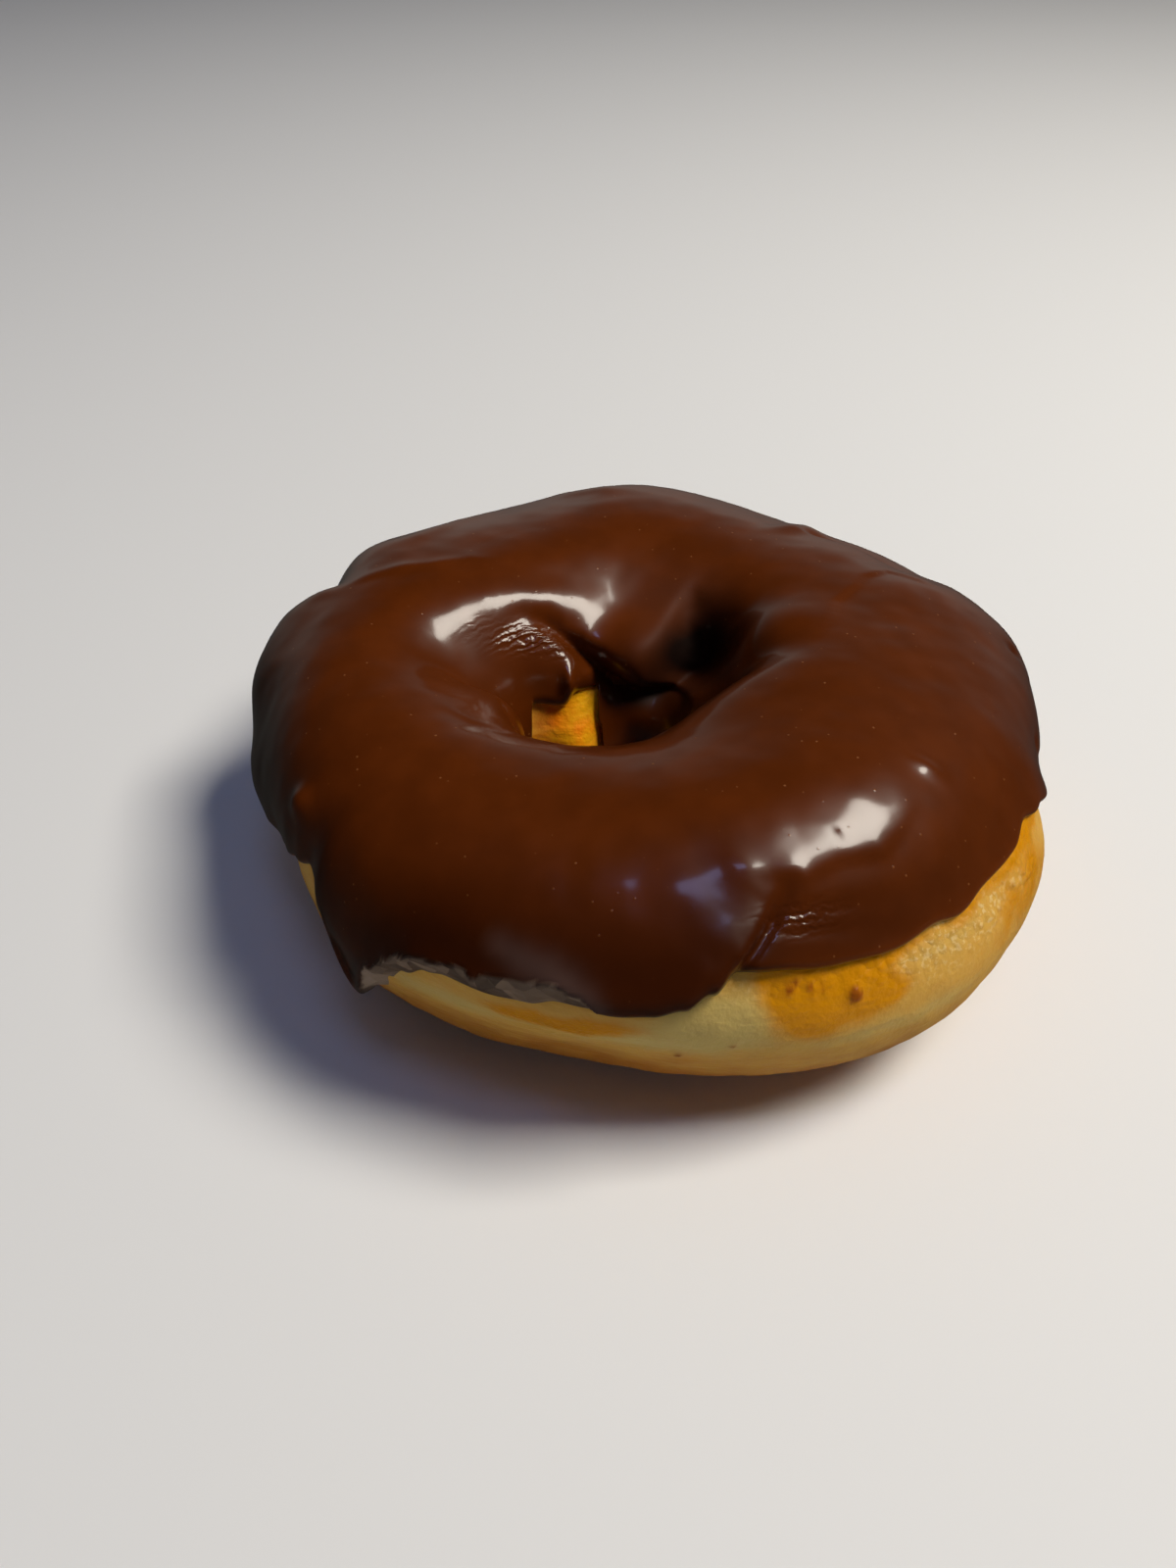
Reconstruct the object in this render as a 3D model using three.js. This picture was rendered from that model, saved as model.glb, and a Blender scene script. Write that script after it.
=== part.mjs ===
// A ring doughnut with its top dipped in chocolate icing. Millimetres, +Z up, resting on its
// flat underside, with the middle of the whole piece over the origin.
//
// A place on the ring is given by two angles in degrees. "round" turns about the ring's upright
// axis: 0 is the right (+X), 90 the back and -90 the front. "section" turns about the middle of
// the ring's cut: 0 faces outward, 90 up, 180 into the hole and 270 down.
import * as THREE from 'three';

// ---- driving dimensions --------------------------------------------------------------------

const ring = {
  axis: { x: 0.81, y: -0.93 }, // where the upright axis stands
  radius: 43.3, // mean outer radius of the dough
  height: 28, // top of the dough above the table
  belly: 15, // height of the widest line on the outside
  throat: 14, // height of the narrowest line in the hole
  crownShare: 0.48, // where the top lies between the hole (0) and the outside (1)
  outerTopFullness: 2.05, // 2 is round, more is squarer
  innerTopFullness: 1.9,
  underFullness: 2.1,
  flatCut: 0.9, // how far the round underside is pressed flat
};

// The outline isn't quite round: swells that come once, twice and three times round the ring.
const outlineSwells = [
  { times: 1, size: 1.2, phase: -84 },
  { times: 2, size: 1.5, phase: -159 },
  { times: 3, size: 0.9, phase: -85 },
];

// The hole is a long oval, off the middle of the ring.
const hole = { x: -7.3, y: -4.1, halfLength: 15, halfWidth: 6.7 };

// Swells (+) and hollows (-) of the dough:
// [round, section, half-width round, half-width section, height]
const doughRelief = [
  [115, 50, 16, 30, -1.2], // flatter shoulders at the back
  [60, 50, 16, 30, -1.5],
  [20, 35, 13, 28, 1.3], // full right shoulder
  [-10, 15, 12, 28, -0.7], // dent on the right
  [-15, 22, 6, 16, -1.1],
  [-60, -20, 14, 26, 0.5], // fuller front right, leaner front left
  [-102, -25, 20, 24, -3.6],
  [-165, 5, 22, 30, -1.7],
  [-171, 0, 6, 16, 2.0], // lumps down the left side
  [176, 16, 6, 18, 3.3],
  [166, 32, 5, 14, 2.1],
  [150, 40, 14, 30, 1.2],
  [150, 120, 18, 20, 1.2], // long slope into the hole at its back left
  [120, 120, 18, 20, 0.9],
  [150, 150, 18, 20, -0.6],
  [70, 120, 18, 20, -1.6], // the slope falls away towards the back
  [70, 150, 18, 20, -0.7],
  [-20, 125, 24, 24, 3.3], // fold on the hole's right
  [-58, 75, 24, 18, 2.5], // raised crown at the front right
  [62, 144, 18, 9, 2.6], // swell that hangs into the hole from the back
  [55, 190, 20, 16, -3.0], // undercut below it
  [36, 144, 9, 17, -5.0], // pit beside it
  [98, 197, 24, 13, 3.2], // bare dough on its other side, sloping up
  [14, 120, 10, 10, 1.5], // rounded rim beyond the pit
  [180, 172, 22, 20, 6.5], // the hole's left end is filled with dough
  [-160, 150, 16, 20, 2.5],
  [118, 150, 14, 10, 0.8], // ledge above the bare dough
  [-95, 125, 26, 13, 0.45], // near rim of the hole
  [-62, 66, 6, 12, -0.3], // flatter crown at the front right
];

const icing = {
  gap: 0.4, // clearance between the two solids
  thickness: 1.9, // from the dough to the icing's outside, over the top
  thinnerInHole: 0.7, // and this much less inside the hole
  thinFrom: 105, // section angles between which it thins
  thinTo: 175,
  edgeThickness: 0.7, // at the very edge, gap included
  edgeRounding: 1.4, // length over which the edge rounds up to full thickness
  thinBand: 4.5, // width of the thin stretch along a thinly run edge
  beadFrom: 1.6,
  beadWidth: 1.3,
};

// How far the icing ran down outside: [round, section]. It hangs in lobes.
const outerEdge = [
  [-180, -3],
  [-162, -4],
  [-151, 7],
  [-142, 18], // short run with a strip of bare dough below it
  [-133, -26], // drip at the front left
  [-123, 9],
  [-117, 18.5],
  [-108, 18], // wide front lobe
  [-101, 22.5],
  [-92, 22.5],
  [-88, 25],
  [-81, 37], // thin part beside it
  [-70, 33.5],
  [-62, 32],
  [-46, 34],
  [-33, 36],
  [-22, 24],
  [0, 8],
  [25, -5],
  [60, -12],
  [95, -14],
  [130, -11],
  [155, -5],
];

// How far it ran down into the hole: [round, section]. Bare dough shows at the back left.
const innerEdge = [
  [-135, 178],
  [-90, 175],
  [-45, 178],
  [0, 190],
  [40, 226],
  [70, 222],
  [84, 160],
  [99, 161],
  [112, 167],
  [135, 164],
  [141, 188],
  [180, 184],
];

// How the outer edge ended: [round, height]. Above 0 a bead, below 0 the icing thinned out.
const edgeBead = [
  [-180, 0.3],
  [-162, 0],
  [-155, -0.9],
  [-142, -0.9],
  [-134, 0.5],
  [-100, 0.4],
  [-88, 0.3],
  [-82, 0],
  [-70, -0.8],
  [-40, -1.0],
  [-20, -0.6],
  [10, 0.1],
  [60, 0.5],
  [130, 0.5],
];

// Relief of the icing itself, written as doughRelief is.
const icingRelief = [
  [88, 50, 7, 18, 0.5],
  [52.5, 57, 3, 9, 0.9],
  [29, 48, 5, 16, -0.8],
  [148, 47, 5.5, 16, 0.7],
  [158.5, 40, 4, 12, -1.1],
  [9, 25, 6, 16, 0.8],
  [-137, -6, 4, 16, -0.8],
  [-80, 45, 4, 16, 0.5], // fold beside the front lobe
];

const steps = { round: 84, doughSection: 34, icingOutside: 20, icingInside: 18 };

// ---- angles and small formulas ---------------------------------------------------------------

const { clamp, lerp, smoothstep, euclideanModulo, degToRad } = THREE.MathUtils;

const cosine = (degrees) => Math.cos(degToRad(degrees));
const sine = (degrees) => Math.sin(degToRad(degrees));

// The shorter way from one angle to another, from -180 to 180.
function turnBetween(from, to) {
  return euclideanModulo(to - from + 180, 360) - 180;
}

function bellCurve(distance, halfWidth) {
  return Math.exp(-0.5 * (distance / halfWidth) ** 2);
}

// A cosine or sine made squarer (fullness above 2) or more pointed (below 2).
function shaped(value, fullness) {
  return Math.sign(value) * Math.abs(value) ** (2 / fullness);
}

function reliefHeight(list, round, section) {
  let height = 0;
  for (const [atRound, atSection, wideRound, wideSection, size] of list) {
    const acrossRound = bellCurve(turnBetween(atRound, round), wideRound);
    const acrossSection = bellCurve(turnBetween(atSection, section), wideSection);
    height += size * acrossRound * acrossSection;
  }
  return height;
}

// Height of an edge at one place on the ring, eased from each station to the next.
function edgeAt(stations, round) {
  for (let k = 0; k < stations.length; k += 1) {
    const [start, startValue] = stations[k];
    const [end, endValue] = stations[(k + 1) % stations.length];
    const span = euclideanModulo(end - start, 360);
    const along = euclideanModulo(round - start, 360);
    if (along < span) return lerp(startValue, endValue, 0.5 - 0.5 * cosine((180 * along) / span));
  }
  return stations[0][1];
}

// ---- dough -----------------------------------------------------------------------------------

function outerRadius(round) {
  const swell = outlineSwells.reduce(
    (sum, { times, size, phase }) => sum + size * cosine(times * round - phase),
    0,
  );
  return ring.radius + swell;
}

function holeRadius(round) {
  return 1 / Math.hypot(cosine(round) / hole.halfLength, sine(round) / hole.halfWidth);
}

// The smooth ring, before its relief: a shaped oval section between the hole and the outline.
function smoothPoint(round, section) {
  const top = sine(section) >= 0;
  const outside = cosine(section) >= 0;
  const topFullness = outside ? ring.outerTopFullness : ring.innerTopFullness;
  const fullness = top ? topFullness : ring.underFullness;
  const across = shaped(cosine(section), fullness);
  const up = shaped(sine(section), fullness);
  const share = ring.crownShare + across * (outside ? 1 - ring.crownShare : ring.crownShare);
  const middle = lerp(ring.throat, ring.belly, share);
  const reach = top ? ring.height - middle : middle + ring.flatCut;
  const inner = holeRadius(round);
  const outer = outerRadius(round);
  return new THREE.Vector3(
    lerp(hole.x + inner * cosine(round), outer * cosine(round), share) + ring.axis.x,
    lerp(hole.y + inner * sine(round), outer * sine(round), share) + ring.axis.y,
    middle + up * reach,
  );
}

function smoothNormal(round, section) {
  const half = 0.5; // degrees to either side
  const alongRound = smoothPoint(round + half, section).sub(smoothPoint(round - half, section));
  const alongSection = smoothPoint(round, section + half).sub(smoothPoint(round, section - half));
  return alongRound.cross(alongSection).normalize();
}

// A point at a given distance outside the dough's own surface.
function pointOver(round, section, distance) {
  const height = reliefHeight(doughRelief, round, section) + distance;
  return smoothPoint(round, section).addScaledVector(smoothNormal(round, section), height);
}

function doughPoint(round, section) {
  const point = pointOver(round, section, 0);
  point.z = Math.max(point.z, 0); // pressed flat where it rests
  return point;
}

function doughSection(round) {
  const points = [];
  for (let k = 0; k < steps.doughSection; k += 1) {
    points.push(doughPoint(round, (360 * k) / steps.doughSection));
  }
  return points;
}

// ---- icing -----------------------------------------------------------------------------------

function icingDistance(round, section, outerStop, innerStop) {
  const degreeLength = degToRad((ring.radius - hole.halfLength) / 2); // of the section's curve
  const fromOuterStop = (section - outerStop) * degreeLength;
  const fromInnerStop = (innerStop - section) * degreeLength;
  const thinning = icing.thinnerInHole * smoothstep(section, icing.thinFrom, icing.thinTo);
  const edge = edgeAt(edgeBead, round);
  const bead = Math.max(edge, 0) * Math.exp(-(((fromOuterStop - icing.beadFrom) / icing.beadWidth) ** 2));
  const thinned = Math.min(edge, 0) * Math.exp(-((fromOuterStop / icing.thinBand) ** 2));
  const relief = reliefHeight(icingRelief, round, section);
  const full = Math.max(icing.thickness - thinning + bead + thinned + relief, icing.edgeThickness);
  const rise = clamp(Math.min(fromOuterStop, fromInnerStop) / icing.edgeRounding, 0, 1);
  return lerp(icing.edgeThickness, full, Math.sqrt(1 - (1 - rise) ** 2));
}

function icingSection(round) {
  const outerStop = edgeAt(outerEdge, round);
  const innerStop = edgeAt(innerEdge, round);
  const points = [];
  for (let k = 0; k <= steps.icingOutside; k += 1) {
    const even = k / steps.icingOutside;
    const eased = 0.5 - 0.5 * cosine(180 * even); // closer steps at the two edges
    const section = lerp(outerStop, innerStop, (even + eased) / 2);
    points.push(pointOver(round, section, icingDistance(round, section, outerStop, innerStop)));
  }
  for (let k = steps.icingInside; k >= 0; k -= 1) {
    const section = lerp(outerStop, innerStop, k / steps.icingInside);
    points.push(pointOver(round, section, icing.gap));
  }
  return points;
}

// ---- solids ----------------------------------------------------------------------------------

// Joins closed sections, one at each step round the ring, into a closed body.
function ringGeometry(sectionAt) {
  const sections = Array.from({ length: steps.round }, (_, k) => sectionAt((360 * k) / steps.round));
  const count = sections[0].length;
  const index = [];
  for (let i = 0; i < steps.round; i += 1) {
    const here = i * count;
    const next = ((i + 1) % steps.round) * count;
    for (let j = 0; j < count; j += 1) {
      const up = (j + 1) % count;
      index.push(here + j, next + j, next + up, here + j, next + up, here + up);
    }
  }
  const geometry = new THREE.BufferGeometry().setFromPoints(sections.flat());
  geometry.setIndex(index);
  geometry.computeVertexNormals();
  return geometry;
}

function makeDough() {
  const friedDough = new THREE.MeshStandardMaterial({ color: '#d99a45', roughness: 0.6, metalness: 0 });
  const mesh = new THREE.Mesh(ringGeometry(doughSection), friedDough);
  mesh.name = 'dough_ring';
  return mesh;
}

function makeIcing() {
  const chocolate = new THREE.MeshStandardMaterial({ color: '#4a1f0a', roughness: 0.2, metalness: 0 });
  const mesh = new THREE.Mesh(ringGeometry(icingSection), chocolate);
  mesh.name = 'chocolate_icing';
  return mesh;
}

const doughnut = new THREE.Group();
doughnut.add(makeDough(), makeIcing());

export default doughnut;
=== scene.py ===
import math

import bmesh
import bpy
import numpy as np
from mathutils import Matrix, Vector, noise


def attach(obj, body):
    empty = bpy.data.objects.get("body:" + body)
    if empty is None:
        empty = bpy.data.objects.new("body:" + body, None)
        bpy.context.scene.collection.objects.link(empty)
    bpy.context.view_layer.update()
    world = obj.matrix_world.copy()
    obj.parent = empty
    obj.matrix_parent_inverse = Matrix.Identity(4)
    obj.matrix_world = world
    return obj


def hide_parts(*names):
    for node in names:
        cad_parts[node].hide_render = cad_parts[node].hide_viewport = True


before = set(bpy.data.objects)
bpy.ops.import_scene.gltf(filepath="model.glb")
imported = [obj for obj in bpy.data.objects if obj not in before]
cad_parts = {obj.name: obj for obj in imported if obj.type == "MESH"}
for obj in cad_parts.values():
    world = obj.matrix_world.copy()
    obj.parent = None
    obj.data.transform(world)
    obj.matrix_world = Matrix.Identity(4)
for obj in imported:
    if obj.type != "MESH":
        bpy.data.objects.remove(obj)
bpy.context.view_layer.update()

# A ring doughnut of fried yeast dough with its top dipped in chocolate icing.
# A place on it is given by two angles in degrees. "around" turns about the ring's upright axis:
# 0 is the right (+X), 90 the back and -90 the front. "section" turns about the middle of the
# ring's cut: 0 faces outward, 90 up, 180 into the hole and 270 down.

mm = 0.001  # sizes are given in millimetres, and Blender works in metres
bpy.context.scene.view_settings.view_transform = "Standard"
print("frame loaded:", ", ".join(sorted(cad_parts)))


# Small formulas that take whole arrays of points at once
def cosd(degrees):
    return np.cos(np.radians(degrees))


def sind(degrees):
    return np.sin(np.radians(degrees))


def turnBetween(start, end):
    return (end - start + 180) % 360 - 180


def bell(distance, halfWidth):
    return np.exp(-0.5 * (distance / halfWidth) ** 2)


def blendStep(value, low, high):
    part = np.clip((value - low) / (high - low), 0, 1)
    return part * part * (3 - 2 * part)


def mix(start, end, part):
    return start + (end - start) * part


# A cosine or sine made squarer (fullness above 2) or more pointed (below 2).
def shaped(value, fullness):
    return np.sign(value) * np.abs(value) ** (2 / fullness)


# Noise from -1 to 1 with lumps of about the given size.
def lumps(points, size, seed):
    shift = Vector((seed * 7.3, seed * 3.1, seed * 5.7))
    return np.array([noise.noise(Vector(p) / size + shift) for p in points])


# The smooth ring, before its swells and hollows
ringShape = {
    "axis": (0.81, -0.93),
    "radius": 43.3,
    "height": 28,
    "belly": 15,
    "throat": 14,
    "crownShare": 0.48,
    "outerTopFullness": 2.05,
    "innerTopFullness": 1.9,
    "underFullness": 2.1,
    "flatCut": 0.9,
    "swells": [(1, 1.2, -84), (2, 1.5, -159), (3, 0.9, -85)],  # times round, size, phase
    "hole": (-7.3, -4.1),
    "holeHalf": (15, 6.7),
    "closestSteps": (-95, 25),  # where the steps round the ring are closest, and by how much
}

# Swells (+) and hollows (-): around, section, half-width around, half-width in section, height
doughRelief = [
    (115, 50, 16, 30, -1.2),
    (60, 50, 16, 30, -1.5),
    (20, 35, 13, 28, 1.3),
    (-10, 15, 12, 28, -0.7),
    (-15, 22, 6, 16, -1.1),
    (-60, -20, 14, 26, 0.5),
    (-102, -25, 20, 24, -3.6),
    (-165, 5, 22, 30, -1.7),
    (-171, 0, 6, 16, 2.0),
    (176, 16, 6, 18, 3.3),
    (166, 32, 5, 14, 2.1),
    (150, 40, 14, 30, 1.2),
    (150, 120, 18, 20, 1.2),
    (120, 120, 18, 20, 0.9),
    (150, 150, 18, 20, -0.6),
    (70, 120, 18, 20, -1.6),
    (70, 150, 18, 20, -0.7),
    (-20, 125, 24, 24, 3.3),
    (-58, 75, 24, 18, 2.5),
    (62, 144, 18, 9, 2.6),  # swell that hangs into the hole from the back
    (55, 190, 20, 16, -3.0),
    (36, 144, 9, 17, -5.0),  # black pit beside it
    (98, 197, 24, 13, 3.2),  # bare dough that slopes up towards the light
    (14, 120, 10, 10, 1.5),
    (180, 172, 22, 20, 6.5),  # filled left end of the hole
    (-160, 150, 16, 20, 2.5),
    (118, 150, 14, 10, 0.8),  # bench under the window's second reflection
    (-95, 125, 26, 13, 0.45),  # near rim
    (-62, 66, 6, 12, -0.3),  # flatter where the window is mirrored
]


def reliefHeight(relief, around, section):
    height = np.zeros(np.broadcast(around, section).shape)
    for atAround, atSection, wideAround, wideSection, size in relief:
        here = bell(turnBetween(atAround, around), wideAround)
        height += size * here * bell(turnBetween(atSection, section), wideSection)
    return height


# An edge's height round the ring, eased from each station to the next.
def edgeAt(stations, around):
    starts = np.array([place for place, level in stations], float)
    levels = np.array([level for place, level in stations], float)
    turned = (around - starts[0]) % 360
    spans = np.append((starts - starts[0]) % 360, 360)
    here = np.searchsorted(spans, turned, side="right") - 1
    along = (turned - spans[here]) / (spans[here + 1] - spans[here])
    return mix(levels[here], np.append(levels, levels[0])[here + 1], 0.5 - 0.5 * cosd(180 * along))


def smoothRing(around, section):
    shape = ringShape
    outer = shape["radius"] + sum(a * cosd(n * around - p) for n, a, p in shape["swells"])
    inner = 1 / np.hypot(cosd(around) / shape["holeHalf"][0], sind(around) / shape["holeHalf"][1])
    top = sind(section) >= 0
    outside = cosd(section) >= 0
    topFullness = np.where(outside, shape["outerTopFullness"], shape["innerTopFullness"])
    fullness = np.where(top, topFullness, shape["underFullness"])
    across = shaped(cosd(section), fullness)
    up = shaped(sind(section), fullness)
    crown = shape["crownShare"]
    share = crown + across * np.where(outside, 1 - crown, crown)
    middle = mix(shape["throat"], shape["belly"], share)
    reach = np.where(top, shape["height"] - middle, middle + shape["flatCut"])
    x = mix(shape["hole"][0] + inner * cosd(around), outer * cosd(around), share)
    y = mix(shape["hole"][1] + inner * sind(around), outer * sind(around), share)
    return np.stack([x + shape["axis"][0], y + shape["axis"][1], middle + up * reach], -1)


def smoothNormal(around, section):
    half = 0.5
    alongRing = smoothRing(around + half, section) - smoothRing(around - half, section)
    alongSection = smoothRing(around, section + half) - smoothRing(around, section - half)
    normal = np.cross(alongRing, alongSection)
    return normal / np.linalg.norm(normal, axis=-1, keepdims=True)


# Points at a given distance outside the dough's own surface.
def overDough(around, section, distance):
    height = reliefHeight(doughRelief, around, section) + distance
    return smoothRing(around, section) + smoothNormal(around, section) * height[..., None]


# Heights drawn along a line of stations (around, section, height, width), like a sculpting
# stroke: a rounded ridge or groove, or a step whose raised side is left (1) or right (-1).
def strokeHeight(points, normals, stations, raised, softness):
    stations = np.array(stations, float)
    knots = overDough(stations[:, 0], stations[:, 1], np.full(len(stations), icingPiece["thickness"]))
    height = np.zeros(len(points))
    total = np.zeros(len(points))
    for k in range(len(stations) - 1):
        along = knots[k + 1] - knots[k]
        part = np.clip((points - knots[k]) @ along / (along @ along), 0, 1)
        offset = points - knots[k] - part[:, None] * along
        distance = np.linalg.norm(offset, axis=1)
        here = mix(stations[k, 2], stations[k + 1, 2], part)
        here = here * bell(distance, mix(stations[k, 3], stations[k + 1, 3], part))
        if raised:
            left = (offset * np.cross(normals, along / np.linalg.norm(along))).sum(1)
            here = here / (1 + np.exp(np.clip(-raised * left / softness, -50, 50)))
        nearness = (distance + 0.1) ** -6  # so that the stretches blend at the knots
        height += nearness * here
        total += nearness
    return height / total


# A flat sheet of squares, with the two angles that each vertex gets once it is wrapped round.
# The steps are closer at the front, where the icing's edge is seen.
def plainSheet(aroundSteps, sectionSteps):
    bm = bmesh.new()
    bmesh.ops.create_grid(bm, x_segments=aroundSteps, y_segments=sectionSteps, size=1)
    places = np.array([v.co for v in bm.verts])
    turned = (places[:, 0] + 1) * 180
    closest, drawn = ringShape["closestSteps"]
    return bm, turned - drawn * sind(turned - closest), (places[:, 1] + 1) * 180


# Wraps the sheet into a closed ring: the vertices are put in place and both seams are welded.
def wrapSheet(bm, points, paint):
    for title, values in paint.items():
        layer = bm.verts.layers.float.new(title)
        for vertex, value in zip(bm.verts, values.tolist()):
            vertex[layer] = value
    for vertex, point in zip(bm.verts, (points * mm).tolist()):
        vertex.co = point
    bmesh.ops.remove_doubles(bm, verts=bm.verts, dist=0.001 * mm)
    bmesh.ops.recalc_face_normals(bm, faces=bm.faces)
    for face in bm.faces:
        face.smooth = True


def finishPiece(bm, name, material, node):
    mesh = bpy.data.meshes.new(name)
    bm.to_mesh(mesh)
    bm.free()
    mesh.materials.append(material)
    piece = bpy.data.objects.new(name, mesh)
    bpy.context.scene.collection.objects.link(piece)
    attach(piece, "root")
    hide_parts(node)
    print("made", name, "with", len(mesh.polygons), "faces")


# A hex colour as Blender's linear one
def srgb(code):
    channels = [int(code[k:k + 2], 16) / 255 for k in (1, 3, 5)]
    return [c / 12.92 if c <= 0.04045 else ((c + 0.055) / 1.055) ** 2.4 for c in channels] + [1]


def newMaterial(name):
    material = bpy.data.materials.new(name)
    material.use_nodes = True
    material.node_tree.nodes.clear()
    return material


# Adds a node with its settings and links, and gives one of its outputs. An input is a value or
# another node's output, and one of None is left alone.
def addNode(material, kind, settings=None, inputs=None, output=0):
    node = material.node_tree.nodes.new(kind)
    for key, value in (settings or {}).items():
        setattr(node, key, value)
    for key, value in (inputs or {}).items():
        if isinstance(value, bpy.types.NodeSocket):
            material.node_tree.links.new(value, node.inputs[key])
        elif value is not None:
            node.inputs[key].default_value = value
    return node.outputs[output] if node.outputs else None


# Settings that many nodes share. A smooth rise falls where its From Min is the larger.
multiply = {"operation": "MULTIPLY"}
multiplyAdd = {"operation": "MULTIPLY_ADD"}
larger = {"operation": "MAXIMUM"}
smoothRise = {"interpolation_type": "SMOOTHSTEP"}
ofColours = {"data_type": "RGBA"}


doughPiece = {
    "aroundSteps": 560,
    "sectionSteps": 170,
    "closerSteps": (17, 10),  # steps drawn together at the outside and in the hole
    "lumps": [(9, 0.35), (3, 0.12), (1.3, 0.05)],  # size, height
    "pebbles": (0.9, 0.2),
    "soakedEdge": (-80, -15, 1.5, 2.0, 0.6),  # along the icing: from, to, below it, width, strength
    "blisterRise": (0.03, 0.2),
    "brownedFrom": -12,  # degrees below the middle where the darker underside begins and is full
    "brownedTo": 50,
    "golden": "#cb9c42",
    "brown": "#b06c1c",
    "cream": "#c2a860",
    "pebble": "#d9b877",
    "syrup": "#c88402",
    "blister": "#8f4a08",
    "freshPale": "#ffb408",
    "freshDeep": "#ff8600",
    "streakSize": 0.9,
    "streakStretch": (0.22, 0.22, 1),  # streaks run level round the side
    "patchSize": 4,
    "grainSize": 0.5,  # fine bubbles in the skin
    "roughness": 0.6,
    "syrupSmoother": -0.3,
}

# Small blisters in the soaked skin
doughBlisters = [
    (-76, 29, 0.4, 1.4, 0.3), (-73.5, 27.5, 0.35, 1.3, 0.25), (-72, 27, 0.3, 1.2, 0.2),
    (-75, 31, 0.3, 1.2, 0.2), (-68.5, 21, 0.55, 1.8, 0.5), (-89, -4.5, 0.4, 1.4, 0.2),
    (-83, 4.5, 0.35, 1.3, 0.15),
]

# Where the dough's skin differs: around, section, half-width around, in section, strength
doughPaint = {
    "amber": [  # soaked by syrup, clear and glossy
        (-75.5, 21, 2.6, 8, 0.8), (-71, 15, 3.6, 8, 0.9), (-65.5, 17, 3.4, 5, 0.7),
        (-73, 29, 4, 5, 0.6), (-66, 25, 4, 6, 0.5), (-105, 9, 5.5, 4, 1.0), (-98, 13, 4, 3.5, 0.7),
        (-36, 20, 5, 14, 0.7), (-47, 14, 6, 9, 0.35),
    ],
    "fresh": [(100, 174, 26, 15, 1.3)],  # bare and moist in the hole
    "cream": [  # least fried, the pale line round the middle
        (-85, 19, 5, 10, 1.1), (-118, 2, 8, 6, 0.7), (-92, 6, 7, 6, 0.8), (-55, 25, 9, 6, 0.35),
        (-64, 1, 9, 4, 0.6),
    ],
    "pebbly": [(-54, 26, 11, 7, 1.0), (-40, 26, 6, 7, 0.7), (-66, 30, 6, 3, 0.6), (-77, 30, 4, 3, 0.5)],
}


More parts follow.
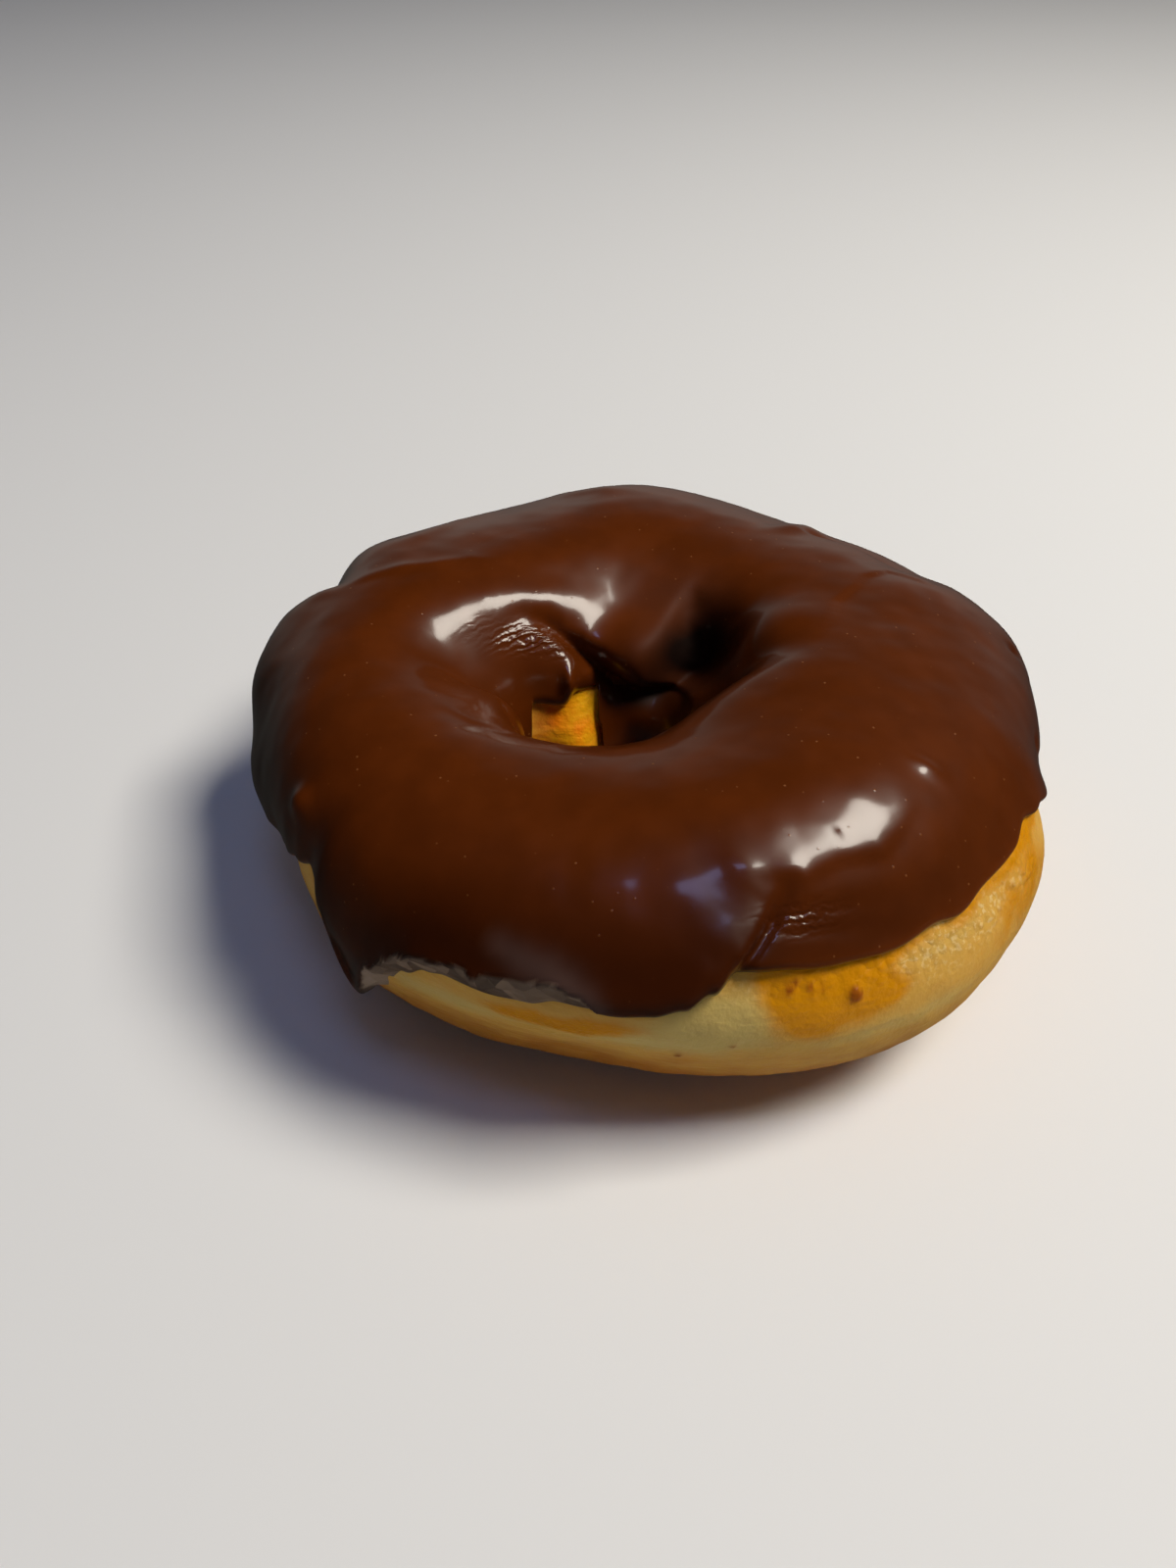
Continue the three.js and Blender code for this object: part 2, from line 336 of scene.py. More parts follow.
# Yeast dough fried in oil: a dry, satin skin with fine bubbles, golden with a paler line round the
# middle. Where syrup soaked in it is amber, clearer and smoother, and in the hole it is moist.
def friedDoughMaterial():
    skin = doughPiece
    material = newMaterial("friedYeastDough")
    marks = {
        title: addNode(material, "ShaderNodeAttribute", {"attribute_name": title}, output="Fac")
        for title in ("amber", "browned", "cream", "pebbly", "blister", "fresh")
    }
    place = addNode(material, "ShaderNodeTexCoord", output="Object")
    streaked = addNode(
        material, "ShaderNodeMapping", inputs={"Vector": place, "Scale": skin["streakStretch"]},
    )
    streaks = addNode(material, "ShaderNodeTexNoise", inputs={
        "Vector": streaked, "Scale": 1 / (skin["streakSize"] * mm), "Detail": 3,
    })
    patches = addNode(material, "ShaderNodeTexNoise", inputs={
        "Vector": place, "Scale": 1 / (skin["patchSize"] * mm), "Detail": 3,
    })
    grain = addNode(material, "ShaderNodeTexNoise", inputs={
        "Vector": place, "Scale": 1 / (skin["grainSize"] * mm), "Detail": 3,
    })
    pebbles = addNode(material, "ShaderNodeTexVoronoi", inputs={
        "Vector": place, "Scale": 1 / (skin["pebbles"][0] * mm),
    }, output="Distance")

    # how much of each kind of skin shows
    browned = addNode(material, "ShaderNodeMath", multiplyAdd, {0: streaks, 1: 0.9, 2: marks["browned"]})
    browned = addNode(material, "ShaderNodeMath", multiplyAdd, {0: patches, 1: 0.7, 2: browned})
    browned = addNode(material, "ShaderNodeMapRange", smoothRise, {
        "Value": browned, "From Min": 0.7, "From Max": 1.9,
    })
    offMiddle = addNode(material, "ShaderNodeMath", {"operation": "SUBTRACT"}, {0: patches, 1: 0.5})
    cream = addNode(material, "ShaderNodeMath", multiplyAdd, {0: offMiddle, 1: 0.8, 2: marks["cream"]})
    cream = addNode(material, "ShaderNodeMapRange", smoothRise, {
        "Value": cream, "From Min": 0.05, "From Max": 0.9,
    })
    pale = addNode(material, "ShaderNodeMapRange", smoothRise, {
        "Value": grain, "From Min": 0.5, "From Max": 0.65,
    })
    pale = addNode(material, "ShaderNodeMath", multiply, {0: pale, 1: marks["pebbly"]})
    soaked = addNode(material, "ShaderNodeMath", multiplyAdd, {0: offMiddle, 1: 1.2, 2: marks["amber"]})
    soaked = addNode(material, "ShaderNodeMapRange", smoothRise, {
        "Value": soaked, "From Min": 0.1, "From Max": 0.8,
    })
    inside = addNode(material, "ShaderNodeMapRange", smoothRise, {
        "Value": marks["amber"], "From Min": 0.0, "From Max": 0.3,
    })
    soaked = addNode(material, "ShaderNodeMath", multiply, {0: soaked, 1: inside})
    moist = addNode(material, "ShaderNodeMapRange", smoothRise, {
        "Value": patches, "From Min": 0.3, "From Max": 0.7,
    })
    fresh = addNode(material, "ShaderNodeMix", ofColours, {
        0: moist, 6: srgb(skin["freshPale"]), 7: srgb(skin["freshDeep"]),
    }, output=2)

    colour = srgb(skin["golden"])
    layers = [
        (browned, srgb(skin["brown"])),
        (cream, srgb(skin["cream"])),
        (pale, srgb(skin["pebble"])),
        (soaked, srgb(skin["syrup"])),
        (marks["blister"], srgb(skin["blister"])),
        (marks["fresh"], fresh),
    ]
    for part, over in layers:
        colour = addNode(material, "ShaderNodeMix", ofColours, {0: part, 6: colour, 7: over}, output=2)

    pebbles = addNode(material, "ShaderNodeMath", multiply, {0: pebbles, 1: marks["pebbly"]})
    bumped = None
    for height, depth in [(grain, 0.1), (pebbles, -0.2), (streaks, 0.12)]:
        bumped = addNode(material, "ShaderNodeBump", inputs={
            "Height": height, "Distance": depth * mm, "Strength": 1.0, "Normal": bumped,
        })
    rough = addNode(material, "ShaderNodeMath", multiplyAdd, {
        0: soaked, 1: skin["syrupSmoother"], 2: skin["roughness"],
    })
    shader = addNode(material, "ShaderNodeBsdfPrincipled", inputs={
        "Base Color": colour, "Roughness": rough, "IOR": 1.4, "Specular IOR Level": 0.35,
        "Normal": bumped, "Subsurface Weight": 0.15, "Subsurface Radius": (1, 0.5, 0.2),
        "Subsurface Scale": 1.2 * mm,
    })
    addNode(material, "ShaderNodeOutputMaterial", inputs={"Surface": shader})
    return material


# The height of a list of strokes: stations, raised side, softness of the step
def sculpted(around, section, strokes):
    places = overDough(around, section, np.full(len(around), icingPiece["thickness"]))
    normals = smoothNormal(around, section)
    return sum(strokeHeight(places, normals, *stroke) for stroke in strokes)


def buildDough():
    bm, around, turned = plainSheet(doughPiece["aroundSteps"], doughPiece["sectionSteps"])
    drawn, shift = doughPiece["closerSteps"]
    section = turned - drawn * sind(2 * (turned + shift))
    paint = {
        title: np.clip(reliefHeight(rows, around, section), 0, 1) for title, rows in doughPaint.items()
    }
    low, high, below, width, strength = doughPiece["soakedEdge"]
    turn = turnBetween(0, around)
    along = blendStep(turn, low - 3, low + 3) * blendStep(turn, high + 6, high - 6)
    paint["amber"] += strength * along * bell(section - edgeAt(outerEdge, around) + below, width)
    blisters = reliefHeight(doughBlisters, around, section)
    paint["blister"] = blendStep(blisters, *doughPiece["blisterRise"])
    paint["browned"] = blendStep(
        -turnBetween(0, section), doughPiece["brownedFrom"], doughPiece["brownedTo"],
    )
    height = sculpted(around, section, holeStrokes)
    plain = overDough(around, section, height)
    for seed, (size, depth) in enumerate(doughPiece["lumps"]):
        height += depth * lumps(plain, size, seed)
    size, depth = doughPiece["pebbles"]
    height += depth * paint["pebbly"] * lumps(plain, size, 5) + blisters
    points = overDough(around, section, height)
    points[:, 2] = np.maximum(points[:, 2], 0)
    wrapSheet(bm, points, paint)
    finishPiece(bm, "doughRing", friedDoughMaterial(), "dough_ring")


icingPiece = {
    "aroundSteps": 640,
    "sectionSteps": 152,
    "outsideShare": 0.88,  # of the steps, the rest are on the underside
    "closerAtEdges": (0.85, 0.03),  # how much closer the steps are, and how far in
    "closerInHole": (0.45, 0.7, 0.08),  # how much closer, where, and how far
    "rowsTurn": (156, 0.8),  # rows are level to this section, then they follow the inner edge
    "underside": -0.25,
    "thickness": 1.9,
    "thinnerInHole": 0.7,
    "thinFrom": 105,
    "thinTo": 175,
    "innerRounding": 1.4,
    "bead": (1.6, 1.3),  # distance from the edge, width
    "thinBand": 4.5,  # width over which a thinned edge grows to full thickness
    "degreeLength": 0.247,
    "lumps": [(7, 0.12), (2.5, 0.06)],
    "thinWidth": 0.35,  # paler line where a thinned edge lets the dough through
    "edgeShadeLine": (0.8, 3, 4.5),  # painted shade in a band above a full edge: strength, distance, width
    "dark": "#4f2002",
    "lighter": "#582504",
    "speck": "#9a6238",
    # painted shade colour for the band above a full edge
    "paintedEdgeShade": "#361200",
    # painted shade, near black
    "paintedShade": "#120400",
    "thin": "#6a3008",
    "paintedSheen": "#54403a",
    # painted grey reflection of a flat facet, for the streak
    "breakDark": "#30221a",
    "breakPale": "#86705d",
    "chipped": "#93806f",
    "mottleSize": 5,
    "speckSpacing": 1.5,  # pinhead specks, each about 0.2 mm across
    "speckClusters": 2,
    "facetSize": 1.7,
    "rippleLength": 0.62,
    "rippleWaver": 1.4,  # size of the bends that keep the wrinkles from being straight
    "roughness": 0.34,
    "coat": 0.65,
}

# How far the icing ran down outside: around, section
outerEdge = [
    (-180, -3), (-162, -4), (-156, 0), (-151, 7), (-146, 16), (-142, 23), (-139, 22), (-137, 11),
    (-135.3, -6), (-133, -26), (-129.5, -18),
    (-126.5, -3), (-123.5, 8), (-120, 16), (-117, 18.5), (-112, 17.5), (-106.5, 19), (-103, 22.5),
    (-99.5, 22), (-96, 21.5), (-92, 22.5), (-88.5, 25), (-85, 30), (-81.5, 37), (-78, 36), (-70, 33.5),
    (-62, 32), (-56, 33.5), (-52, 31.5), (-46, 34), (-38, 33.5), (-33, 36), (-28, 31), (-22, 24),
    (0, 8), (25, -5), (60, -12), (95, -14), (130, -11), (155, -5),
]

# How far it ran down into the hole. Bare dough shows at the back left.
innerEdge = [
    (-135, 178), (-90, 175), (-45, 178), (0, 190), (40, 226), (70, 222), (76, 182), (84, 160),
    (99, 161), (112, 167), (135, 164), (141, 188), (180, 184),
]

# How the outer edge ends: around, length over which it rounds, bead (+) or thinning (-)
edgeRounding = [
    (-180, 1.0), (-150, 0.9), (-134, 0.9), (-100, 1.2), (-84, 1.6), (-79, 0.7), (-30, 0.6), (0, 0.8),
    (60, 1.4), (130, 1.4),
]
edgeBead = [
    (-180, 0.3), (-162, 0), (-155, -0.9), (-142, -0.9), (-137, 0), (-134, 0.5), (-100, 0.4),
    (-88, 0.3), (-82, 0), (-70, -0.8), (-40, -1.0), (-20, -0.6), (10, 0.1), (60, 0.5), (130, 0.5),
]

# Upper line of the broken stretch of edge. Below it the icing is a slanting break.
brokenFrom = -131
brokenTo = -97.5
brokenTop = [
    (-131, -12), (-127.5, 8), (-124, 19), (-122.5, 23.5), (-119, 27), (-113.5, 29.5), (-112.5, 27),
    (-110.5, 30), (-107, 31), (-103, 32), (-100.3, 29.5), (-97.5, 24), (90, 0),
]

# Strokes: stations of around, section, height, width; raised side; softness of the step
holeStrokes = [
    # valley between the bench and the swell
    ([(126, 130, 0, 0.6), (114, 137, -0.8, 0.6), (102, 143, -1.8, 0.7), (89, 148.5, -2.5, 0.8),
      (78, 153, -2.7, 0.9), (66, 157, -2.0, 1.1)], 0, 0.2),
    # edge of the pit
    ([(60, 103, 0, 3.5), (57.5, 111, -0.5, 3.8), (55.5, 121, -2.2, 4.0), (51, 130.5, -4.0, 4.2),
      (47, 137, -4.5, 4.2), (42, 147, -4.2, 4.2), (37, 156, -3, 4), (28, 164, 0, 4)], 1, 0.5),
    # undercut below the swell
    ([(85, 150, 0, 1.2), (73, 154.5, -3.0, 2.0), (60, 158, -3.6, 3.0), (40, 158, -3.0, 3.0),
      (22, 160, 0, 2)], -1, 0.2),
]
icingStrokes = [
    # crest and valley at the window's second reflection
    ([(168, 115, 0, 1.5), (160, 117, 0.1, 1.8), (152, 118.5, 0.16, 1.8), (136, 121.5, 0.28, 1.5),
      (121, 124.5, 0.28, 1.5), (109, 125.5, 0.25, 1.5), (98, 126, 0.15, 1.5), (86, 124, 0, 1.5)], 0, 0.2),
    ([(141, 127.5, 0, 1.0), (130, 130, -0.35, 1.0), (118, 133.5, -0.55, 1.0), (106, 137, -0.5, 1.0),
      (96, 140, 0, 1.0)], 0, 0.2),
    # fold beside the front lobe
    ([(-83, 35, 1.0, 4.5), (-81, 40.5, 0.9, 4.5), (-78.5, 45, 0.7, 4), (-76.5, 49.5, 0.45, 3.5),
      (-75, 53, 0.2, 3), (-72.5, 56, 0, 2)], 1, 0.1),
    ([(-80.8, 39, -0.6, 0.35), (-78.2, 45, -0.9, 0.4), (-76, 49.5, -0.9, 0.45), (-74.4, 53, -0.6, 0.5),
      (-72, 57.5, -0.2, 0.5), (-70, 60, 0, 0.5)], 0, 0.1),
    # creases that run out from the fold
    ([(-76.5, 47, -0.1, 0.4), (-73, 46, -0.3, 0.5), (-68, 43.5, -0.22, 0.6), (-62, 41, 0, 0.7)], 0, 0.1),
    ([(-76, 50, -0.1, 0.4), (-72.5, 50.5, -0.28, 0.5), (-67, 49, -0.22, 0.6), (-60, 46, -0.1, 0.8),
      (-54, 43, 0, 0.8)], 0, 0.1),
    # lower end of the window's reflection
    ([(-80, 65, 0, 2.8), (-74.5, 60.5, 0.16, 2.8), (-70, 57.5, 0.28, 2.8), (-64, 59.5, 0.34, 2.8),
      (-58, 57, 0.34, 2.8), (-52, 61, 0.2, 2.8), (-45, 65, 0, 2.8)], 1, 0.22),
    # layer that ends in a fine line on the right
    ([(-7, 114, 0, 2), (4, 108, -0.2, 2), (15, 97, -0.3, 2), (19.5, 84.5, -0.3, 2), (23, 77.5, -0.3, 2),
      (24, 70.5, -0.3, 2), (25, 65, -0.3, 1.6), (21, 61.5, -0.2, 1.4)], -1, 0.12),
    # ridge and lower layer at the back right
    ([(60, 66, 0, 2), (52, 60, -0.5, 2), (44, 58, -1.0, 2.2), (37.5, 55, -0.9, 2.2),
      (28, 54, -0.7, 2.2), (17, 53, 0, 2)], 1, 0.2),
    # pale creases at the back left, and a raised lip behind them
    ([(164, 60, 0, 1.2), (158, 78, 0.3, 1.2), (150, 92, 0.35, 1.2), (138, 101.5, 0.3, 1.2),
      (124, 110, 0, 1.2)], 1, 0.25),
    ([(150, 58, 0, 1.4), (140, 66, 0.35, 1.4), (128, 60, 0.35, 1.4), (118, 50, 0, 1.4)], 0, 0.2),
    ([(112, 48, 0, 1.5), (103, 57, 0.45, 1.5), (95, 61, 0.4, 1.5), (87, 60, 0, 1.5)], 0, 0.2),
    # crease where the near rim begins
    ([(-150, 113, 0, 1.6), (-139, 118, -0.2, 1.6), (-133, 124, -0.2, 1.6), (-122, 129, 0, 1.6)], -1, 0.15),
]

icingRelief = [
    (88, 50, 7, 18, 0.5),
    (52.5, 57, 2.4, 8, 0.8),
    (29, 48, 5, 16, -0.8),
    (148, 47, 5.5, 16, 0.7),
    (158.5, 40, 4, 12, -1.1),
    (163.5, 50, 1.8, 8, 0.4),
    (9, 25, 6, 16, 0.8),
    (-137, -6, 4, 16, -0.8),
    (-147, 43.5, 1.4, 4, 0.9),  # small bubble on the left
    (107, 156, 4.5, 4, 1.2),  # drop in the hole
    (-62.5, 39, 2.2, 5, -0.3),
    (-77, 62, 1.8, 4, 0.25),  # bumps where the window is mirrored
    (-71, 58, 1.5, 3.5, 0.2),
    (-97, 66, 2.2, 6, 0.16),
    (-86, 60, 2.0, 5, 0.12),
    (-41, 68, 1.2, 3, 0.3),
    (4.5, 34.5, 0.8, 3, -0.5),  # nicks on the right
    (0.5, 17.5, 1, 3, -0.5),
    (-11, 25, 1, 3, -0.4),
]

icingPaint = {
    "wrinkled": [
        (150, 127, 5, 3, 0.1), (137, 135.5, 6, 2.6, 0.9), (126, 139.5, 7, 2.7, 1.0),
        (113, 143.5, 6, 2.5, 0.8), (-72, 49, 3, 2.6, 0.8),
    ],
    "paintedShade": [  # painted shade: near black in the pit and deep in the hole, darker on the left flank, the front lobe and beside the fold
        (42, 133, 8, 12, 1.4), (46, 166, 16, 9, 0.8), (-112, 34, 16, 12, 0.35), (-166, 22, 22, 16, 0.55),
        (-64, 42, 13, 8, 0.3),
    ],
    "chipped": [(-129, -6, 3, 9, 1.0)],  # paler break at the corner
    "dull": [(57, 124, 10, 14, 1.3), (44, 150, 14, 14, 1.3), (-62, 66, 0.35, 0.9, 1.5)],
}
# A streak beside the break: dull, with a painted grey reflection of a flat facet
paintedSheenStreak = [
    (-112, 42, 0, 0.7), (-109.5, 40, 0.6, 0.9), (-106.5, 37, 0.8, 1.1), (-103.5, 34.5, 0.9, 1.3),
    (-101.5, 31.5, 1, 1.3), (-99.5, 28, 1, 1.1), (-98, 25, 1, 0.8),
]


# Chocolate icing that set after dipping: dark brown under a smooth, glossy skin, with painted shade where it
# is deep and in a band above a full edge, and paler at a thin edge. Where it broke it is dull, grey-brown and
# in facets;
# a streak beside the break is dull, with a painted grey reflection.
def chocolateMaterial():
    skin = icingPiece
    material = newMaterial("setChocolateIcing")
    marks = {
        title: addNode(material, "ShaderNodeAttribute", {"attribute_name": title}, output="Fac")
        for title in ("broken", "paintedEdgeShade", "paintedShade", "thin", "chipped", "paintedSheen", "way", "wrinkled", "dull")
    }
    place = addNode(material, "ShaderNodeTexCoord", output="Object")
    mottle = addNode(material, "ShaderNodeTexNoise", inputs={
        "Vector": place, "Scale": 1 / (skin["mottleSize"] * mm), "Detail": 3,
    })
    mottle = addNode(material, "ShaderNodeMapRange", smoothRise, {
        "Value": mottle, "From Min": 0.3, "From Max": 0.75,
    })

    # specks in some of the cells only
    cells = addNode(material, "ShaderNodeTexVoronoi", inputs={
        "Vector": place, "Scale": 1 / (skin["speckSpacing"] * mm),
    }, output="Distance")
    cells = addNode(material, "ShaderNodeMapRange", smoothRise, {
        "Value": cells, "From Min": 0.1, "From Max": 0.04,
    })
    chosen = addNode(material, "ShaderNodeTexNoise", inputs={
        "Vector": place, "Scale": 1 / (skin["speckClusters"] * mm), "Detail": 0,
    })
    chosen = addNode(material, "ShaderNodeMapRange", smoothRise, {
        "Value": chosen, "From Min": 0.35, "From Max": 0.55,
    })
    specks = addNode(material, "ShaderNodeMath", multiply, {0: cells, 1: chosen})
    specksSeen = addNode(material, "ShaderNodeMath", multiply, {0: specks, 1: 0.5})

    # facets of the break
    facets = addNode(material, "ShaderNodeTexVoronoi", inputs={
        "Vector": place, "Scale": 1 / (skin["facetSize"] * mm),
    }, output="Distance")
    breakColour = addNode(material, "ShaderNodeMix", ofColours, {
        0: facets.node.outputs["Color"], 6: srgb(skin["breakDark"]), 7: srgb(skin["breakPale"]),
    }, output=2)
    breakColour = addNode(material, "ShaderNodeMix", ofColours, {
        0: marks["chipped"], 6: breakColour, 7: srgb(skin["chipped"]),
    }, output=2)
    split = addNode(material, "ShaderNodeMath", multiply, {0: facets, 1: marks["broken"]})
    # the streak's painted grey reflection
    paintedSheen = addNode(material, "ShaderNodeMath", multiply, {0: marks["paintedSheen"], 1: 0.65})

    colour = srgb(skin["dark"])
    layers = [
        (mottle, srgb(skin["lighter"])),
        (specksSeen, srgb(skin["speck"])),
        # painted shade in a band above a full edge
        (marks["paintedEdgeShade"], srgb(skin["paintedEdgeShade"])),
        # painted shade where it is deep
        (marks["paintedShade"], srgb(skin["paintedShade"])),
        (marks["thin"], srgb(skin["thin"])),
        # painted grey reflection along the streak
        (paintedSheen, srgb(skin["paintedSheen"])),
        (marks["broken"], breakColour),
    ]
    for part, over in layers:
        colour = addNode(material, "ShaderNodeMix", ofColours, {0: part, 6: colour, 7: over}, output=2)

    # fine wrinkles that run along the rows
    uneven = addNode(material, "ShaderNodeTexNoise", inputs={
        "Vector": place, "Scale": 1 / (skin["rippleWaver"] * mm), "Detail": 2,
    })
    way = addNode(material, "ShaderNodeMath", multiplyAdd, {0: uneven, 1: 1.2, 2: marks["way"]})
    way = addNode(material, "ShaderNodeMath", multiply, {0: way, 1: 2 * math.pi / skin["rippleLength"]})
    waves = addNode(material, "ShaderNodeMath", {"operation": "SINE"}, {0: way})
    waves = addNode(material, "ShaderNodeMath", multiply, {0: waves, 1: marks["wrinkled"]})
    bumped = None
    for height, depth in [(waves, 0.05), (specks, 0.015), (split, 0.6)]:
        bumped = addNode(material, "ShaderNodeBump", inputs={
            "Height": height, "Distance": depth * mm, "Strength": 1.0, "Normal": bumped,
        })

    # the gloss is lost where the skin is broken, along the streak with the painted grey reflection, or dull
    dull = addNode(material, "ShaderNodeMath", larger, {0: marks["broken"], 1: marks["dull"]})
    dull = addNode(material, "ShaderNodeMath", larger, {0: dull, 1: paintedSheen})
    rough = addNode(material, "ShaderNodeMath", multiplyAdd, {0: dull, 1: 0.3, 2: skin["roughness"]})
    coat = addNode(material, "ShaderNodeMath", multiplyAdd, {0: dull, 1: -skin["coat"], 2: skin["coat"]})
    shader = addNode(material, "ShaderNodeBsdfPrincipled", inputs={
        "Base Color": colour, "Roughness": rough, "IOR": 1.4, "Specular IOR Level": 0.22,
        "Normal": bumped, "Coat Weight": coat, "Coat Roughness": 0.13, "Coat IOR": 1.4,
        "Coat Normal": bumped,
    })
    addNode(material, "ShaderNodeOutputMaterial", inputs={"Surface": shader})
    return material


# Closer steps at the icing's two edges, where it rounds over, and in the hole.
def edgeSpacing(even):
    grid = np.linspace(0, 1, 401)
    edgeShare, edgeReach = icingPiece["closerAtEdges"]
    holeShare, holeAt, holeReach = icingPiece["closerInHole"]
    slower = edgeShare * (bell(grid, edgeReach) + bell(1 - grid, edgeReach))
    slower += holeShare * bell(grid - holeAt, holeReach)
    covered = np.cumsum(1 - slower)
    return np.interp(even, grid, (covered - covered[0]) / (covered[-1] - covered[0]))


def brokenShare(around):
    return blendStep(around, brokenFrom - 1, brokenFrom + 1) * blendStep(around, brokenTo + 1, brokenTo - 1)


def icingDistance(around, section, outerStop, innerStop):
    icing = icingPiece
    fromOuter = (section - outerStop) * icing["degreeLength"]
    fromInner = (innerStop - section) * icing["degreeLength"]
    inHole = blendStep(section, icing["thinFrom"], icing["thinTo"])
    full = icing["thickness"] - icing["thinnerInHole"] * inHole
    bead = edgeAt(edgeBead, around)
    beadFrom, beadWidth = icing["bead"]
    full += np.maximum(bead, 0) * np.exp(-((fromOuter - beadFrom) / beadWidth) ** 2)
    full += np.minimum(bead, 0) * np.exp(-((fromOuter / icing["thinBand"]) ** 2))
    full += reliefHeight(icingRelief, around, section)
    outerRise = np.clip(fromOuter / edgeAt(edgeRounding, around), 0, 1)
    innerRise = np.clip(fromInner / icing["innerRounding"], 0, 1)
    turned = turnBetween(0, around)
    slant = np.clip((section - outerStop) / np.maximum(edgeAt(brokenTop, turned) - outerStop, 2), 0, 1)
    outerShape = mix(np.sqrt(1 - (1 - outerRise) ** 2), slant, brokenShare(turned))
    return full * np.minimum(outerShape, np.sqrt(1 - (1 - innerRise) ** 2))


def buildIcing():
    bm, around, turned = plainSheet(icingPiece["aroundSteps"], icingPiece["sectionSteps"])
    outerStop = edgeAt(outerEdge, around)
    innerStop = edgeAt(innerEdge, around)
    share = icingPiece["outsideShare"]
    way = turned / 360
    outside = way <= share
    part = np.where(outside, edgeSpacing(way / share), (1 - way) / (1 - share))
    bend, bendPart = icingPiece["rowsTurn"]
    section = np.where(
        part < bendPart, mix(outerStop, bend, part / bendPart),
        mix(bend, innerStop, (part - bendPart) / (1 - bendPart)),
    )
    holeHeight = sculpted(around, section, holeStrokes)
    distance = icingDistance(around, section, outerStop, innerStop)
    plain = overDough(around, section, distance)
    covered = np.clip(distance / icingPiece["thickness"], 0, 1)
    distance += covered * sculpted(around, section, icingStrokes)
    for seed, (size, depth) in enumerate(icingPiece["lumps"]):
        distance += covered * depth * lumps(plain, size, 10 + seed)
    distance = np.where(outside, np.maximum(distance, 0), icingPiece["underside"])
    points = overDough(around, section, distance + holeHeight)

    turn = turnBetween(0, around)
    paint = {
        title: np.clip(reliefHeight(rows, around, section), 0, 1) for title, rows in icingPaint.items()
    }
    paint["broken"] = blendStep(edgeAt(brokenTop, turn) - section, 0, 1.2) * brokenShare(turn)
    # the streak where a grey reflection is painted
    paint["paintedSheen"] = np.clip(sculpted(around, section, [(paintedSheenStreak, 0, 0.2)]), 0, 1)
    fromEdge = (section - outerStop) * icingPiece["degreeLength"]
    thinned = np.clip(-edgeAt(edgeBead, around), 0, 1)
    full = np.clip(1 + edgeAt(edgeBead, around), 0, 1)
    strength, middle, width = icingPiece["edgeShadeLine"]
    paint["thin"] = bell(fromEdge, icingPiece["thinWidth"]) * thinned
    # painted shade in a band above a full edge that is not thinned
    paint["paintedEdgeShade"] = strength * bell(fromEdge - middle, width) * full
    paint["way"] = section * icingPiece["degreeLength"] - 0.005 * turn  # wrinkles slant a little
    wrapSheet(bm, points, paint)
    finishPiece(bm, "chocolateIcing", chocolateMaterial(), "chocolate_icing")


buildDough()
buildIcing()

studio = {
    "camera": (-6.37, -105.28, 101.16),
    "pitch": 42,  # degrees below level
    "lens": 27,
    "floorSize": 2400,
    "floorColour": "#e8e9ea",
    "skyColour": "#d2cec6",
    "skyLevel": 0.42,
    "skyOverhead": 0.01,
    "skyUnder": 0.03,
    "backdrop": 0.7,  # what the camera sees behind the floor
    "lights": [  # name, direction, distance, size, power, colour, mirrored in the gloss
        ("windowLight", (0.53, -0.02, 0.85), 800, (280, 300), 6.4, "#fff8ea", True),
        ("blueWindow", (0.06, -0.2, 0.96), 900, (240, 120), 0.6, "#9fb2ee", True),
        ("softFill", (-0.3, 0.2, 0.9), 1500, (1500, 1500), 1.6, "#a4baf0", False),
        ("frontFill", (-0.1, -1, 0.4), 1200, (900, 500), 0.7, "#dde0f0", False),
    ],
}


def buildFloor():
    bm = bmesh.new()
    bmesh.ops.create_grid(bm, x_segments=1, y_segments=1, size=studio["floorSize"] * mm / 2)
    mesh = bpy.data.meshes.new("paleFloor")
    bm.to_mesh(mesh)
    bm.free()
    floor = bpy.data.objects.new("paleFloor", mesh)
    material = newMaterial("paleMattePaint")
    shader = addNode(material, "ShaderNodeBsdfPrincipled", inputs={
        "Base Color": srgb(studio["floorColour"]), "Roughness": 0.9, "Specular IOR Level": 0.2,
    })
    addNode(material, "ShaderNodeOutputMaterial", inputs={"Surface": shader})
    mesh.materials.append(material)
    floor.visible_glossy = False
    bpy.context.scene.collection.objects.link(floor)


def buildCamera():
    data = bpy.data.cameras.new("photoCamera")
    data.lens = studio["lens"]
    data.sensor_width = 36
    data.clip_start = 0.01
    camera = bpy.data.objects.new("photoCamera", data)
    camera.location = Vector(studio["camera"]) * mm
    camera.rotation_euler = (math.radians(90 - studio["pitch"]), 0, 0)
    bpy.context.scene.collection.objects.link(camera)
    bpy.context.scene.camera = camera


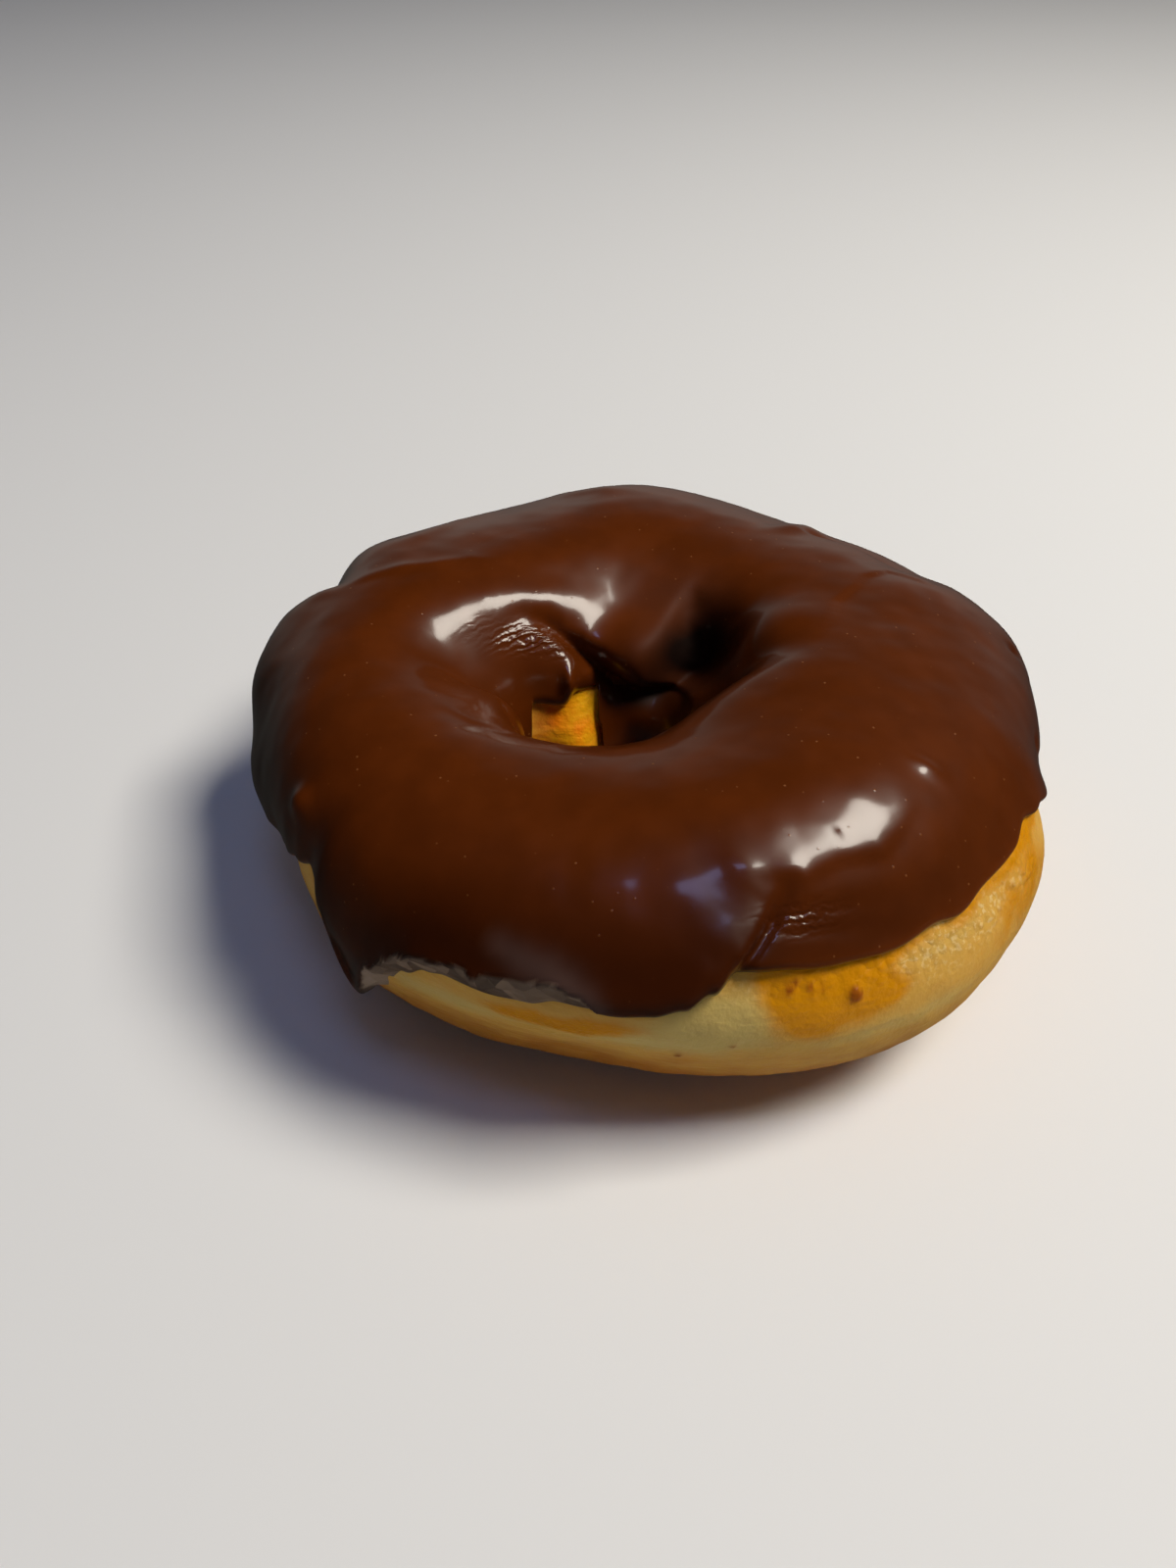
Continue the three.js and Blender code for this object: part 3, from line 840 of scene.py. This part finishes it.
def buildLight(name, direction, distance, size, power, colour, mirrored):
    data = bpy.data.lights.new(name, "AREA")
    data.shape = "RECTANGLE"
    data.size = size[0] * mm
    data.size_y = size[1] * mm
    data.energy = power
    data.color = srgb(colour)[:3]
    light = bpy.data.objects.new(name, data)
    away = Vector(direction).normalized()
    light.location = away * distance * mm
    light.rotation_euler = away.to_track_quat("Z", "Y").to_euler()
    light.visible_glossy = mirrored
    bpy.context.scene.collection.objects.link(light)


# A sky for the gloss to mirror: dark overhead, and paler near the level at the back.
def buildSky():
    world = bpy.data.worlds.new("softSky")
    world.use_nodes = True
    world.node_tree.nodes.clear()
    way = addNode(world, "ShaderNodeTexCoord", output="Generated")
    height = addNode(world, "ShaderNodeSeparateXYZ", inputs={0: way}, output="Z")
    steep = addNode(world, "ShaderNodeMath", {"operation": "ABSOLUTE"}, {0: height})
    low = addNode(world, "ShaderNodeMath", {"operation": "SUBTRACT"}, {0: 1.0, 1: steep})
    low = addNode(world, "ShaderNodeMath", {"operation": "POWER"}, {0: low, 1: 3.0})
    level = addNode(world, "ShaderNodeMapRange", smoothRise, {
        "Value": height.node.outputs["Y"], "From Min": 0.45, "From Max": 1,
        "To Min": 0.01, "To Max": studio["skyLevel"],
    })
    under = addNode(world, "ShaderNodeMapRange", smoothRise, {
        "Value": height, "From Min": 0.0, "From Max": -0.3,
    })
    under = addNode(world, "ShaderNodeMath", multiply, {0: under, 1: studio["skyUnder"]})
    strength = addNode(world, "ShaderNodeMath", multiplyAdd, {0: low, 1: level, 2: under})
    strength = addNode(world, "ShaderNodeMath", {"operation": "ADD"}, {0: strength, 1: studio["skyOverhead"]})
    seen = addNode(world, "ShaderNodeLightPath", output="Is Camera Ray")
    strength = addNode(world, "ShaderNodeMath", multiplyAdd, {0: seen, 1: studio["backdrop"], 2: strength})
    background = addNode(
        world, "ShaderNodeBackground", inputs={"Color": srgb(studio["skyColour"]), "Strength": strength},
    )
    addNode(world, "ShaderNodeOutputWorld", inputs={"Surface": background})
    bpy.context.scene.world = world


buildFloor()
buildCamera()
for light in studio["lights"]:
    buildLight(*light)
buildSky()
print("studio set with", len(studio["lights"]), "lights")

print("scene finished")
